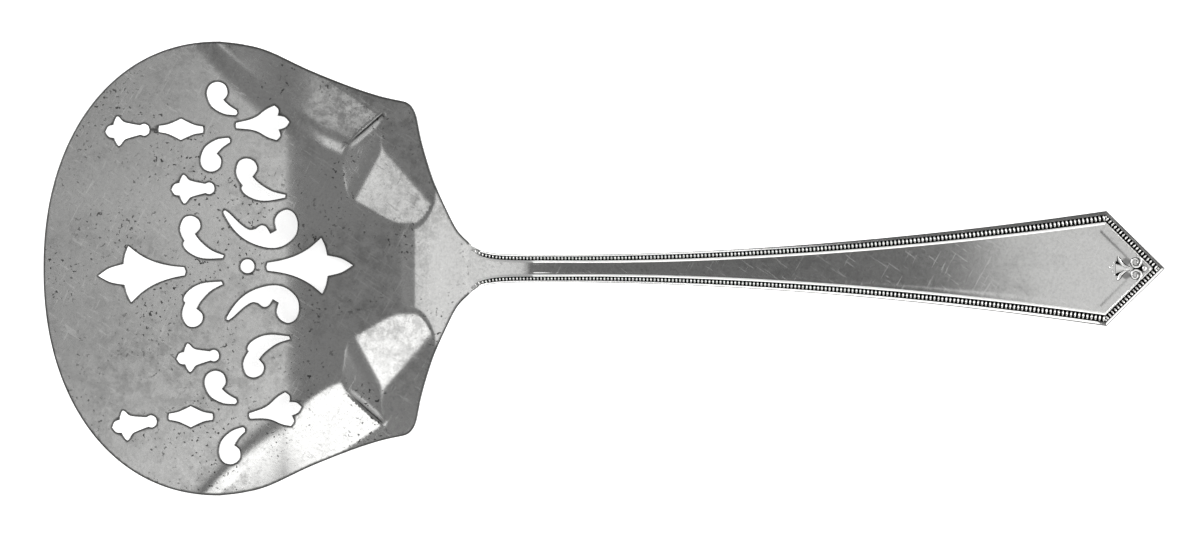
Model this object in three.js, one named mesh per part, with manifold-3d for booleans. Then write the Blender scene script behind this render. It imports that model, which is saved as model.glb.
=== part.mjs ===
import * as THREE from 'three';
import { mergeVertices } from 'three/addons/utils/BufferGeometryUtils.js';
import Module from 'manifold-3d';

const wasm = await Module();
wasm.setup();

// A silver cucumber server, in millimetres. X runs from the front of the bowl to the tip of the
// handle, Y runs across, and Z is up from the table. The origin is on the table, under the middle.
// Whole server
const overallLength = 158.8;
const bowlLength = 60.2;
const bowlWidth = 64.3;
const seamThickness = 0.3;
const cutOverrun = 2;

// Pierced bowl: a formed sheet, thicker at the neck, where the handle is soldered on
const sheetThickness = 1.2;
const neckThickness = 2.4;
const neckThickeningLength = 8;
const neckThickeningHalfWidth = 9;
const neckHalfWidth = 3.4;
const frontDepth = 24.9;
const frontPower = 2.15;
const frontSlope = 0.14;
const frontFoldX = 37;
const frontFoldBlend = 3;
const sideRise = 1.3;
const flatHalfWidth = 10;

// Raised corner flap on each side of the neck: a side wall and a corner wall that start from one
// foot and meet in a pinched valley, a back wall beside the neck, and a lip that ends all three
const sideWallSlope = 0.3;
const sideWallAngle = 65;
const sideWallBend = 61;
const cornerWallSlope = 0.327;
const cornerWallAngle = 8;
const wallFootX = 41.9;
const wallFootY = 16.6;
const backWallSlope = 0.2;
const backWallAngle = 60;
const backWallFootX = 49.1;
const backWallFootY = 6;
const sideBlend = 0.75;
const wallBlend = 0.2;
const valleyBlend = 0.12;
const ridgeBlend = 0.3;
const lipStartHeight = 0.43;
const lipSlope = 0.08;
const lipBlend = 0.1;

// Side view of the handle: a gentle approach and a ramp up from the bowl, a crest, and a long arch
// down to the tip
const approachStart = 49.1;
const approachSlope = 0.1;
const approachBlend = 0.15;
const rampStart = 52.9;
const rampSlope = 0.5;
const rampBlend = 0.6;
const crestStart = 64.5;
const crestBlend = 8;
const archPower = 2.7;
const shankThickness = 2.9;
const tipThickness = 1.9;
const thickeningLength = 14;

// Handle seen from above: a flared neck, a narrow shank, and a widening end with a pointed tip
const shankHalfWidth = 1.95;
const narrowestX = 74.2;
const endHalfWidth = 8.15;
const tipLength = 8.3;
const taperPower = 1.8;
const flareLength = 1.65;

// Struck border at its full width, in from the edge: rim, bead row, groove, fillet, band, panel
const edgeRound = 0.18;
const edgeDrop = 0.25;
const rimWidth = 0.5;
const stepRun = 0.1;
const beadRowWidth = 0.78;
const grooveWidth = 0.14;
const filletWidth = 0.28;
const bandWidth = 1.05;
const channelDepth = 0.32;
const beadHeight = 0.42;
const filletHeight = 0.12;
const panelDepth = 0.22;
const panelStart = 8.4;
const borderFade = 2.2;
const backBevelWidth = 0.9;
const backBevelHeight = 0.5;
const borderShankShare = 0.53;
const bandShankShare = 0.27;
const borderGrowthPower = 0.55;
const borderTipShare = 0.78;
const beadPitchShank = 0.48;
const beadPitchEnd = 0.588;

// Ornament struck at the tip: two volutes, a pellet behind them and a bellflower before them
const voluteSetback = 4.15;
const voluteSpacing = 1.5;
const voluteRadius = 0.5;
const voluteWire = 0.22;
const pelletSetback = 2.9;
const pelletRadius = 0.34;
const recessFront = 4.7;
const recessBack = 2.15;
const recessHalfWidth = 1.05;
const flowerSetback = 5.1;
const flowerLength = 3.1;
const flowerHalfWidth = 1.8;
const flowerHeight = 0.3;

// Piercings, by the length of each motif
const largeFleurLength = 12.35;
const smallFleurLength = 6.15;
const mediumFleurLength = 7.55;
const lozengeLength = 6.3;
const smallCommaLength = 4.25;
const commaLength = 6.5;
const scrollLength = 8.75;
const centreHoleRadius = 0.97;

// How finely the solids are faceted
const bowlGridStep = 1.7;
const frontSteps = 18;
const splineSteps = 3;
const motifSteps = 2;
const cornerSteps = 4;
const bisectionSteps = 40;
const shankStations = 22;
const tipStations = 4;
const roundSegments = 12;
const wireSegments = 6;
const neckStationShares = [0, 0.08, 0.17, 0.28, 0.42, 0.62, 0.82];

const silverColour = 0xc9c9c6;
const bowlRoughness = 0.22;
const handleRoughness = 0.18;
const solderRoughness = 0.3;

// Places worked out from the sizes above
const frontX = -overallLength / 2;
const tipX = overallLength / 2;
const seamX = frontX + bowlLength;
const handleX = seamX + seamThickness;
const endX = tipX - tipLength;
const shankX = frontX + narrowestX;
const halfBowl = bowlWidth / 2;
const widestX = frontX + frontDepth;
const tipAngle = Math.atan2(endHalfWidth, tipLength);

function clampShare(value) {
  return Math.min(Math.max(value, 0), 1);
}

function smoothStep(value) {
  const share = clampShare(value);
  return share * share * (3 - 2 * share);
}

// Nought before the blend, the distance itself after it, and a parabola between
function rampUp(distance, blend) {
  if (distance <= -blend) {
    return 0;
  }
  if (distance >= blend) {
    return distance;
  }
  return (distance + blend) ** 2 / (4 * blend);
}

// The larger and the smaller of two values, with a parabola where they come near each other
function blendedMax(first, second, blend) {
  return second + rampUp(first - second, blend);
}

function blendedMin(first, second, blend) {
  return first - rampUp(first - second, blend);
}

function degrees(angle) {
  return (angle * Math.PI) / 180;
}

// Side view: height of the top face on the middle line, above the bowl's floor
function archShare(x) {
  const share = Math.max(x - (frontX + crestStart), 0) / (tipX - frontX - crestStart);
  return share ** archPower;
}

function levelling(x) {
  return rampSlope * rampUp(x - (frontX + crestStart), crestBlend);
}

function rampRise(x) {
  const approach = approachSlope * (x - (frontX + approachStart));
  const ramp = rampSlope * (x - (frontX + rampStart));
  return rampUp(blendedMax(ramp, approach, rampBlend), approachBlend);
}

// The two blends of the bowl's face lift its floor a little, and the floor height makes up for it
const floorHeight = sheetThickness - rampUp(valleyBlend / 4, valleyBlend);

// The arch ends where the back of the tip comes down to the table
function archDrop() {
  const restX = tipCrossing({ inset: backBevelWidth, band: 0 });
  const standing = floorHeight + rampRise(restX) - levelling(restX) - handleThickness(restX);
  return standing / archShare(restX);
}

function handleThickness(x) {
  const thickening = smoothStep((x - handleX) / thickeningLength);
  const taper = clampShare((x - handleX) / (tipX - handleX));
  const shank = neckThickness + (shankThickness - neckThickness) * thickening;
  return shank + (tipThickness - shankThickness) * taper;
}

const tailDrop = archDrop();

function lineTop(x) {
  return floorHeight + rampRise(x) - levelling(x) - tailDrop * archShare(x);
}

// Bowl: height of the top face at any place. A wall is a plane that climbs from its foot.
function wallPlane(x, y, footX, footY, angle, slope) {
  const along = x - (frontX + footX);
  const across = Math.abs(y) - footY;
  return slope * (along * Math.cos(degrees(angle)) + across * Math.sin(degrees(angle)));
}

// The foot of the side wall bends outward as it runs to the front
function sideWall(x, y) {
  const side = wallPlane(x, y, wallFootX, wallFootY, sideWallAngle, sideWallSlope);
  const ahead = Math.max(frontX + wallFootX - x, 0);
  return rampUp(side - (sideWallSlope * ahead ** 2) / sideWallBend, sideBlend);
}

function flapHeight(x, y) {
  const corner = wallPlane(x, y, wallFootX, wallFootY, cornerWallAngle, cornerWallSlope);
  const back = wallPlane(x, y, backWallFootX, backWallFootY, backWallAngle, backWallSlope);
  const backPart = rampUp(blendedMin(back, corner, ridgeBlend), wallBlend);
  const walls = blendedMax(sideWall(x, y), backPart, valleyBlend);
  return blendedMin(walls, lipStartHeight + lipSlope * Math.abs(y), lipBlend);
}

function bowlTop(x, y) {
  const front = frontSlope * rampUp(frontX + frontFoldX - x, frontFoldBlend);
  const side = Math.max(Math.abs(y) - flatHalfWidth, 0) / (halfBowl - flatHalfWidth);
  const dish = front + sideRise * side ** 2;
  const formed = blendedMax(flapHeight(x, y), rampRise(x), valleyBlend) - levelling(x);
  return floorHeight + dish + formed;
}

function bowlThickness(x, y) {
  const neckEdge = handleHalfWidth(seamX);
  const along = smoothStep((x - seamX) / neckThickeningLength + 1);
  const across = 1 - smoothStep((Math.abs(y) - neckEdge) / (neckThickeningHalfWidth - neckEdge));
  return sheetThickness + (neckThickness - sheetThickness) * along * across;
}

function bowlBottom(x, y) {
  return bowlTop(x, y) - bowlThickness(x, y);
}

// Closed solids
function geometryOf(points, triangles) {
  const positions = [];
  for (const corners of triangles) {
    for (const corner of corners) {
      positions.push(...points[corner]);
    }
  }
  const geometry = new THREE.BufferGeometry();
  geometry.setAttribute('position', new THREE.Float32BufferAttribute(positions, 3));
  return geometry;
}

function toSolid(geometry) {
  const bare = geometry.clone();
  bare.deleteAttribute('normal');
  bare.deleteAttribute('uv');
  const merged = mergeVertices(bare);
  const vertProperties = new Float32Array(merged.attributes.position.array);
  const triVerts = new Uint32Array(merged.index.array);
  return new wasm.Manifold(new wasm.Mesh({ numProp: 3, vertProperties, triVerts }));
}

function toGeometry(solid) {
  const mesh = solid.getMesh();
  const geometry = new THREE.BufferGeometry();
  geometry.setAttribute('position', new THREE.Float32BufferAttribute(mesh.vertProperties, 3));
  geometry.setIndex([...mesh.triVerts]);
  geometry.computeVertexNormals();
  return geometry;
}

// A slab between two height functions, over a rectangle of the plan
function slabGeometry(xs, ys, topAt, bottomAt) {
  const points = [];
  const triangles = [];
  const rows = ys.length;
  const layer = xs.length * rows;
  for (const heightAt of [topAt, bottomAt]) {
    for (const x of xs) {
      for (const y of ys) {
        points.push([x, y, heightAt(x, y)]);
      }
    }
  }
  function addQuad(a, b, c, d) {
    triangles.push([a, b, c], [a, c, d]);
  }
  for (let i = 0; i < xs.length - 1; i += 1) {
    for (let j = 0; j < rows - 1; j += 1) {
      const corner = i * rows + j;
      const next = corner + rows;
      addQuad(corner, next, next + 1, corner + 1);
      addQuad(layer + corner, layer + corner + 1, layer + next + 1, layer + next);
    }
  }
  const lastRow = layer - rows;
  for (let j = 0; j < rows - 1; j += 1) {
    addQuad(j, j + 1, layer + j + 1, layer + j);
    addQuad(lastRow + j + 1, lastRow + j, layer + lastRow + j, layer + lastRow + j + 1);
  }
  for (let i = 0; i < xs.length - 1; i += 1) {
    const near = i * rows;
    const far = near + rows - 1;
    addQuad(near + rows, near, layer + near, layer + near + rows);
    addQuad(far, far + rows, layer + far + rows, layer + far);
  }
  return geometryOf(points, triangles);
}

function evenSteps(start, end, step) {
  const count = Math.ceil((end - start) / step);
  const values = [];
  for (let i = 0; i <= count; i += 1) {
    values.push(start + ((end - start) * i) / count);
  }
  return values;
}

// Rim of the bowl behind its widest place, in shares of the bowl's length from the front and of
// its half width: the side, then the back edge that sweeps in from the corner to the neck
const sideRimShares = [[0.47, 0.987], [0.53, 0.957], [0.625, 0.874], [0.72, 0.803], [0.79, 0.76],
  [0.845, 0.737]];
const cornerShares = [0.873, 0.727];
const backRimShares = [[0.88, 0.64], [0.889, 0.558], [0.904, 0.459], [0.92, 0.372], [0.945, 0.267],
  [0.972, 0.17]];

function bowlPlace(shares) {
  return new THREE.Vector2(frontX + bowlLength * shares[0], halfBowl * shares[1]);
}

function halfRim() {
  const arc = [];
  for (let i = 0; i <= frontSteps; i += 1) {
    const angle = (Math.PI / 2) * (i / frontSteps);
    const depth = frontDepth * Math.abs(Math.cos(angle)) ** (2 / frontPower);
    arc.push(new THREE.Vector2(widestX - depth, halfBowl * Math.sin(angle) ** (2 / frontPower)));
  }
  const widest = arc.pop();
  const side = new THREE.SplineCurve([widest, ...sideRimShares.map(bowlPlace)]);
  const back = new THREE.SplineCurve([
    ...backRimShares.map(bowlPlace),
    new THREE.Vector2(seamX, handleHalfWidth(seamX)),
  ]);
  const corner = new THREE.QuadraticBezierCurve(
    bowlPlace(sideRimShares.at(-1)), bowlPlace(cornerShares), bowlPlace(backRimShares[0]),
  );
  const sidePoints = side.getPoints(sideRimShares.length * splineSteps);
  const cornerPoints = corner.getPoints(cornerSteps).slice(1, -1);
  return [...arc, ...sidePoints, ...cornerPoints, ...back.getPoints(backRimShares.length * splineSteps)];
}

// Piercing motifs. A motif is a list of runs: a smooth line through the points of each run, with
// a corner where two runs meet. Points are shares of the motif's length. A fleur and a lozenge lie
// along x from the tip, and only their upper half is given. A comma and a scroll have their round
// head at nought, with the tail to the lower right or the upper left.
const largeFleurHalfShares = [
  [[0, 0], [0.13, 0.078], [0.295, 0.118]],
  [[0.295, 0.118], [0.318, 0.225], [0.36, 0.322]],
  [[0.36, 0.322], [0.5, 0.205], [0.655, 0.122], [0.82, 0.072], [0.985, 0.045]],
  [[0.985, 0.045], [1, 0]],
];
const smallFleurHalfShares = [
  [[0, 0], [0.07, 0.115], [0.19, 0.145]],
  [[0.19, 0.145], [0.225, 0.245], [0.285, 0.335], [0.345, 0.295]],
  [[0.345, 0.295], [0.42, 0.205], [0.54, 0.162], [0.79, 0.105]],
  [[0.79, 0.105], [0.885, 0.135], [0.975, 0.085], [1, 0]],
];
const mediumFleurHalfShares = [
  [[0, 0], [0.08, 0.093], [0.21, 0.128]],
  [[0.21, 0.128], [0.185, 0.24], [0.255, 0.322]],
  [[0.255, 0.322], [0.37, 0.28], [0.46, 0.232], [0.59, 0.145], [0.74, 0.09], [0.99, 0.05]],
  [[0.99, 0.05], [1, 0]],
];
const lozengeHalfShares = [
  [[0, 0], [0.01, 0.068]],
  [[0.01, 0.068], [0.23, 0.112], [0.5, 0.238]],
  [[0.5, 0.238], [0.77, 0.112], [0.99, 0.068]],
  [[0.99, 0.068], [1, 0]],
];
const smallCommaShares = [
  [[0.19, -0.26], [0.33, -0.06], [0.26, 0.22], [0, 0.33], [-0.26, 0.21], [-0.34, -0.09],
    [-0.18, -0.48], [0.21, -0.72], [0.6, -0.77]],
  [[0.6, -0.77], [0.655, -0.71], [0.64, -0.62]],
  [[0.64, -0.62], [0.38, -0.45], [0.19, -0.26]],
];
const commaShares = [
  [[0.12, -0.16], [0.22, 0], [0.16, 0.16], [0, 0.225], [-0.16, 0.16], [-0.22, -0.04],
    [-0.18, -0.2], [-0.08, -0.35]],
  [[-0.08, -0.35], [-0.105, -0.41], [-0.06, -0.5], [0.06, -0.59], [0.25, -0.66], [0.47, -0.67],
    [0.815, -0.61]],
  [[0.815, -0.61], [0.83, -0.55]],
  [[0.83, -0.55], [0.54, -0.475], [0.27, -0.31], [0.12, -0.16]],
];
const scrollShares = [
  [[-0.99, 0.17], [-1.01, 0.12], [-0.845, -0.14], [-0.62, -0.325], [-0.31, -0.43], [-0.065, -0.405],
    [0.13, -0.25], [0.18, -0.055], [0.13, 0.11], [0.01, 0.18], [-0.12, 0.125], [-0.185, 0.005],
    [-0.155, -0.15]],
  [[-0.155, -0.15], [-0.26, -0.21]],
  [[-0.26, -0.21], [-0.33, -0.1], [-0.41, -0.075], [-0.495, -0.13]],
  [[-0.495, -0.13], [-0.6, -0.145], [-0.74, -0.055], [-0.91, 0.11], [-0.99, 0.17]],
];

// Each piercing: its motif, then its place in shares of the bowl's length and half width, its turn
// in degrees, its size as a share of the motif's length, and 1, or -1 where it is flipped
const largeFleur = { length: largeFleurLength, halfShares: largeFleurHalfShares };
const smallFleur = { length: smallFleurLength, halfShares: smallFleurHalfShares };
const mediumFleur = { length: mediumFleurLength, halfShares: mediumFleurHalfShares };
const lozenge = { length: lozengeLength, halfShares: lozengeHalfShares };
const smallComma = { length: smallCommaLength, shares: smallCommaShares };
const comma = { length: commaLength, shares: commaShares };
const scroll = { length: scrollLength, shares: scrollShares };
const piercingShares = [
  [largeFleur, 0.231, -0.022, 3, 1, 1],
  [largeFleur, 0.6245, 0.011, 181, 0.99, 1],
  [smallFleur, 0.197, 0.607, 3, 1.01, 1],
  [smallFleur, 0.3505, 0.351, 2, 0.985, 1],
  [smallFleur, 0.362, -0.39, 5, 0.975, 1],
  [smallFleur, 0.2135, -0.685, 9, 1.03, 1],
  [mediumFleur, 0.514, 0.638, 184, 1, 1],
  [mediumFleur, 0.544, -0.63, 190, 0.99, 1],
  [lozenge, 0.3225, 0.613, -1, 1, 1],
  [lozenge, 0.3455, -0.653, 0, 0.99, 1],
  [smallComma, 0.408, 0.778, 0, 1, 1],
  [smallComma, 0.393, 0.471, 2, 1, -1],
  [smallComma, 0.403, -0.496, 3, 1.03, 1],
  [smallComma, 0.438, -0.818, 13, 1.01, -1],
  [comma, 0.4765, 0.438, 0, 1.02, 1],
  [comma, 0.3445, 0.187, -8, 0.97, 1],
  [comma, 0.35, -0.213, 14, 0.97, -1],
  [comma, 0.493, -0.434, 4, 1, -1],
  [scroll, 0.57, 0.2095, 0, 1, 1],
  [scroll, 0.5735, -0.192, -2, 0.97, -1],
];
const centreHoleShares = [0.4785, 0.01];

function runPoints(runs) {
  const points = [];
  for (const run of runs) {
    const curve = new THREE.SplineCurve(run.map((place) => new THREE.Vector2(...place)));
    points.push(...curve.getPoints((run.length - 1) * motifSteps).slice(0, -1));
  }
  return points;
}

function motifPoints(motif) {
  if (motif.shares) {
    return runPoints(motif.shares);
  }
  const upper = runPoints(motif.halfShares);
  const lower = upper.slice(1).map((point) => new THREE.Vector2(point.x, -point.y)).reverse();
  const whole = [...upper, new THREE.Vector2(1, 0), ...lower];
  return whole.map((point) => new THREE.Vector2(point.x - 1 / 2, point.y));
}

function piercingPath([motif, alongShare, acrossShare, turn, sizeShare, flip]) {
  const centre = bowlPlace([alongShare, acrossShare]);
  const size = motif.length * sizeShare;
  return new THREE.Path(motifPoints(motif).map((point) => {
    const scaled = new THREE.Vector2(point.x * size, point.y * size * flip);
    return scaled.rotateAround(new THREE.Vector2(), degrees(turn)).add(centre);
  }));
}

function centreHolePath() {
  const centre = bowlPlace(centreHoleShares);
  const circle = new THREE.EllipseCurve(centre.x, centre.y, centreHoleRadius, centreHoleRadius);
  return new THREE.Path(circle.getPoints(roundSegments).slice(0, -1));
}

function bowlGeometry() {
  const upper = halfRim();
  const lower = upper.slice(1).map((point) => new THREE.Vector2(point.x, -point.y)).reverse();
  const outline = new THREE.Shape([...upper, ...lower].reverse());
  outline.holes = [...piercingShares.map(piercingPath), centreHolePath()];
  const ceiling = bowlTop(seamX, halfBowl) + bowlTop(frontX, halfBowl) + cutOverrun;
  const prism = new THREE.ExtrudeGeometry(outline, { depth: ceiling + cutOverrun, bevelEnabled: false });
  prism.translate(0, 0, -cutOverrun);
  const xs = evenSteps(frontX - cutOverrun, seamX + cutOverrun, bowlGridStep);
  const ys = evenSteps(-halfBowl - cutOverrun, halfBowl + cutOverrun, bowlGridStep);
  const slab = slabGeometry(xs, ys, bowlTop, bowlBottom);
  return toGeometry(toSolid(slab).intersect(toSolid(prism)));
}

// Solder seam: a thin wafer as wide as the neck on both its faces
function seamGeometry() {
  const wafer = slabGeometry([seamX, handleX], [-1, 1], lineTop, (x) => lineTop(x) - neckThickness);
  const positions = wafer.attributes.position;
  for (let i = 0; i < positions.count; i += 1) {
    positions.setY(i, positions.getY(i) * handleHalfWidth(positions.getX(i)));
  }
  return wafer;
}

// Handle outline: half width on the long sides, and how far the taper has opened
function taperShare(x) {
  return clampShare((x - shankX) / (endX - shankX)) ** taperPower;
}

function handleHalfWidth(x) {
  const taper = (endHalfWidth - shankHalfWidth) * taperShare(x);
  const flare = (neckHalfWidth - shankHalfWidth) * Math.exp((handleX - x) / flareLength);
  return shankHalfWidth + taper + flare;
}

function borderShare(x, shankShare) {
  return shankShare + (1 - shankShare) * taperShare(x) ** borderGrowthPower;
}

// Lines of the border, each by its distance in from the edge, the part of that distance that is
// band, and its height against the plain face of the neck and of the band
function borderLines() {
  const beadStart = rimWidth + stepRun;
  const beadEnd = beadStart + beadRowWidth;
  const filletFoot = beadEnd + grooveWidth;
  const filletInner = filletFoot + stepRun + filletWidth;
  const bandStart = filletInner + stepRun;
  return [
    { name: 'edge', inset: 0, band: 0, edge: -edgeDrop, struck: 0 },
    { name: 'rimStart', inset: edgeRound, band: 0, edge: 0, struck: 0 },
    { name: 'rimEnd', inset: rimWidth, band: 0, edge: 0, struck: 0 },
    { name: 'beadStart', inset: beadStart, band: 0, edge: -channelDepth, struck: 0 },
    { name: 'beadEnd', inset: beadEnd, band: 0, edge: -channelDepth, struck: 0 },
    { name: 'filletFoot', inset: filletFoot, band: 0, edge: -channelDepth, struck: 0 },
    { name: 'filletOuter', inset: filletFoot + stepRun, band: 0, edge: 0, struck: filletHeight },
    { name: 'filletInner', inset: filletInner, band: 0, edge: 0, struck: filletHeight },
    { name: 'bandStart', inset: bandStart, band: 0, edge: 0, struck: 0 },
    { name: 'bandEnd', inset: bandStart, band: bandWidth, edge: 0, struck: 0 },
    { name: 'panelEdge', inset: bandStart + stepRun, band: bandWidth, edge: 0, struck: -panelDepth },
  ];
}

function sideInset(line, x) {
  return line.inset * borderShare(x, borderShankShare) + line.band * borderShare(x, bandShankShare);
}

// On the slanted tip the border is drawn in, and the band takes up what it leaves
function tipInset(line) {
  if (line.band > 0) {
    return line.inset + line.band;
  }
  return line.inset * borderTipShare;
}

function tipCrossing(line) {
  return tipX - tipInset(line) / Math.sin(tipAngle);
}

function tipHalfWidth(line, x) {
  return (tipCrossing(line) - x) * Math.tan(tipAngle);
}

// Where a line turns from the long side onto the slanted tip
function cornerPlace(line) {
  let low = shankX;
  let high = tipX;
  for (let i = 0; i < bisectionSteps; i += 1) {
    const middle = (low + high) / 2;
    const inside = handleHalfWidth(middle) - sideInset(line, middle) < tipHalfWidth(line, middle);
    low = inside ? middle : low;
    high = inside ? high : middle;
  }
  return low;
}

// The station runs from 0 at the seam to 1 at the corner and 2 at the tip
function planPlace(line, station) {
  const cornerX = cornerPlace(line);
  if (station <= 1) {
    const x = handleX + (cornerX - handleX) * station;
    return [x, handleHalfWidth(x) - sideInset(line, x)];
  }
  const x = cornerX + (tipCrossing(line) - cornerX) * (station - 1);
  return [x, station < 2 ? tipHalfWidth(line, x) : 0];
}

function struckHeight(line, x) {
  const fade = smoothStep((x - handleX) / borderFade);
  const struck = x < handleX + panelStart ? 0 : line.struck;
  return line.edge * fade + struck;
}

function coarseStations() {
  const panelShare = panelStart / (endX - handleX);
  const stations = neckStationShares.map((share) => share * panelShare);
  stations.push(panelShare * (1 - stepRun / panelStart));
  for (let i = 0; i <= shankStations; i += 1) {
    stations.push(panelShare + ((1 - panelShare) * i) / shankStations);
  }
  for (let i = 1; i <= tipStations; i += 1) {
    stations.push(1 + i / tipStations);
  }
  return stations;
}

// Bead joints: the pitch grows evenly from the neck to the corner and is even on the tip
function beadStations() {
  const sideLength = endX - handleX;
  const sideBeads = Math.round((2 * sideLength) / (beadPitchShank + beadPitchEnd));
  const tipBeads = Math.round(tipLength / Math.cos(tipAngle) / beadPitchEnd) - 1;
  const growth = (beadPitchEnd - beadPitchShank) / (beadPitchEnd + beadPitchShank);
  const stations = [];
  for (let i = 0; i <= sideBeads; i += 1) {
    const share = i / sideBeads;
    stations.push(share * (1 - growth) + share * share * growth);
  }
  for (let i = 1; i <= tipBeads; i += 1) {
    stations.push(1 + i / tipBeads);
  }
  return stations;
}

// Joins two lines of places along the handle with triangles, whatever their stations
function stitch(first, second, triangles) {
  let i = 0;
  let j = 0;
  while (i < first.length - 1 || j < second.length - 1) {
    const firstNext = i < first.length - 1 ? first[i + 1].station : Infinity;
    const secondNext = j < second.length - 1 ? second[j + 1].station : Infinity;
    if (firstNext <= secondNext) {
      triangles.push([first[i], second[j], first[i + 1]]);
      i += 1;
    } else {
      triangles.push([first[i], second[j], second[j + 1]]);
      j += 1;
    }
  }
}

function topLine(line, stations) {
  return stations.map((station) => {
    const [x, y] = planPlace(line, station);
    return { station, place: [x, y, lineTop(x) + struckHeight(line, x)] };
  });
}

function backLine(inset, lift, stations) {
  const line = { inset, band: 0 };
  return stations.map((station) => {
    const [x, y] = planPlace(line, station);
    const fade = smoothStep((x - handleX) / borderFade);
    return { station, place: [x, y, lineTop(x) - handleThickness(x) + lift * fade] };
  });
}

function onAxis(line) {
  return line.map(({ station, place }) => ({ station, place: [place[0], 0, place[2]] }));
}

// One bead between each two joints, as a pyramid whose top stands proud of the rim
function beadTriangles(outer, inner, triangles) {
  for (let i = 0; i < outer.length - 1; i += 1) {
    const corners = [outer[i], inner[i], inner[i + 1], outer[i + 1]];
    const middle = [0, 1, 2].map((axis) => {
      const sum = corners.reduce((total, corner) => total + corner.place[axis], 0);
      return sum / corners.length;
    });
    const fade = smoothStep((middle[0] - handleX) / borderFade);
    const top = { place: [middle[0], middle[1], middle[2] + beadHeight * fade] };
    for (let k = 0; k < corners.length; k += 1) {
      triangles.push([corners[k], corners[(k + 1) % corners.length], top]);
    }
  }
}

function samePlace(first, second) {
  return first.every((value, axis) => Math.abs(value - second[axis]) < Number.EPSILON * overallLength);
}

// The half of the handle with y above nought, then the other half as its mirror image
function handleBody() {
  const coarse = coarseStations();
  const fine = beadStations();
  const tops = borderLines().map((line) => {
    const isBeadLine = line.name === 'beadStart' || line.name === 'beadEnd';
    return topLine(line, isBeadLine ? fine : coarse);
  });
  const backEdge = backLine(0, backBevelHeight, coarse);
  const backFlat = backLine(backBevelWidth, 0, coarse);
  const lines = [onAxis(backFlat), backFlat, backEdge, ...tops, onAxis(tops.at(-1))];
  const beadIndex = lines.findIndex((line) => line.length === fine.length);
  const triangles = [];
  for (let i = 0; i < lines.length - 1; i += 1) {
    if (i === beadIndex) {
      beadTriangles(lines[i], lines[i + 1], triangles);
    } else {
      stitch(lines[i], lines[i + 1], triangles);
    }
  }
  const middle = { place: [handleX, 0, lineTop(handleX) - neckThickness / 2] };
  for (let i = 0; i < lines.length - 1; i += 1) {
    triangles.push([middle, lines[i + 1][0], lines[i][0]]);
  }
  const points = [];
  const faces = [];
  for (const corners of triangles) {
    const places = corners.map((corner) => corner.place);
    const collapsed = places.some((place, k) => samePlace(place, places[(k + 1) % places.length]));
    if (!collapsed) {
      const start = points.length;
      points.push(...places, ...places.map(([x, y, z]) => [x, y === 0 ? 0 : -y, z]));
      faces.push([start, start + 1, start + 2], [start + 3, start + 5, start + 4]);
    }
  }
  return toSolid(geometryOf(points, faces));
}

// Ornament: small shapes laid on the panel, lifted to the arched face under each of their points
function layOnFace(geometry, level) {
  const positions = geometry.attributes.position;
  for (let i = 0; i < positions.count; i += 1) {
    positions.setZ(i, positions.getZ(i) + lineTop(positions.getX(i)) + level);
  }
  return toSolid(geometry);
}

function recessSolid() {
  const outline = new THREE.Shape([
    new THREE.Vector2(tipX - recessFront, 0),
    new THREE.Vector2(tipX - (recessFront + recessBack) / 2, -recessHalfWidth),
    new THREE.Vector2(tipX - recessBack, 0),
    new THREE.Vector2(tipX - (recessFront + recessBack) / 2, recessHalfWidth),
  ]);
  const recess = new THREE.ExtrudeGeometry(outline, { depth: cutOverrun, bevelEnabled: false });
  return layOnFace(recess, -panelDepth);
}

function voluteSolid(side) {
  const volute = new THREE.TorusGeometry(voluteRadius, voluteWire, wireSegments, roundSegments);
  volute.translate(tipX - voluteSetback, (side * voluteSpacing) / 2, 0);
  return layOnFace(volute, -panelDepth / 2);
}

function pelletSolid() {
  const pellet = new THREE.SphereGeometry(pelletRadius, roundSegments, roundSegments / 2);
  pellet.translate(tipX - pelletSetback, 0, 0);
  return layOnFace(pellet, -panelDepth);
}

// Bellflower: a stem at the volutes that opens into two outer petals and a middle one
const flowerHalfShares = [[0, 0.13], [0.3, 0.22], [0.5, 0.55], [0.57, 1], [0.72, 0.5], [0.86, 0.42]];

function flowerSolid() {
  const rootX = tipX - flowerSetback;
  const half = flowerHalfShares.map(([along, across]) => (
    new THREE.Vector2(rootX - flowerLength * along, flowerHalfWidth * across)
  ));
  const tip = new THREE.Vector2(rootX - flowerLength, 0);
  const other = half.map((point) => new THREE.Vector2(point.x, -point.y)).reverse();
  const flower = new THREE.ExtrudeGeometry(new THREE.Shape([...half, tip, ...other]), {
    depth: 2 * flowerHeight,
    bevelEnabled: false,
  });
  return layOnFace(flower, -panelDepth - flowerHeight);
}

function handleGeometry() {
  const solid = handleBody()
    .subtract(recessSolid())
    .add(voluteSolid(1))
    .add(voluteSolid(-1))
    .add(pelletSolid())
    .add(flowerSolid());
  return toGeometry(solid);
}

function silver(roughness) {
  return new THREE.MeshStandardMaterial({ color: silverColour, metalness: 1, roughness });
}

function addPiece(group, name, geometry, material) {
  const mesh = new THREE.Mesh(geometry, material);
  mesh.name = name;
  group.add(mesh);
}

const server = new THREE.Group();
addPiece(server, 'bowl', bowlGeometry(), silver(bowlRoughness));
addPiece(server, 'solder_seam', seamGeometry(), silver(solderRoughness));
addPiece(server, 'handle', handleGeometry(), silver(handleRoughness));

export default server;
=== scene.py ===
from collections import namedtuple
from math import atan2, ceil, cos, hypot, pi, radians, sin, tan

import bmesh
import bpy
import numpy as np
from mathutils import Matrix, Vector, geometry, kdtree


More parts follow.
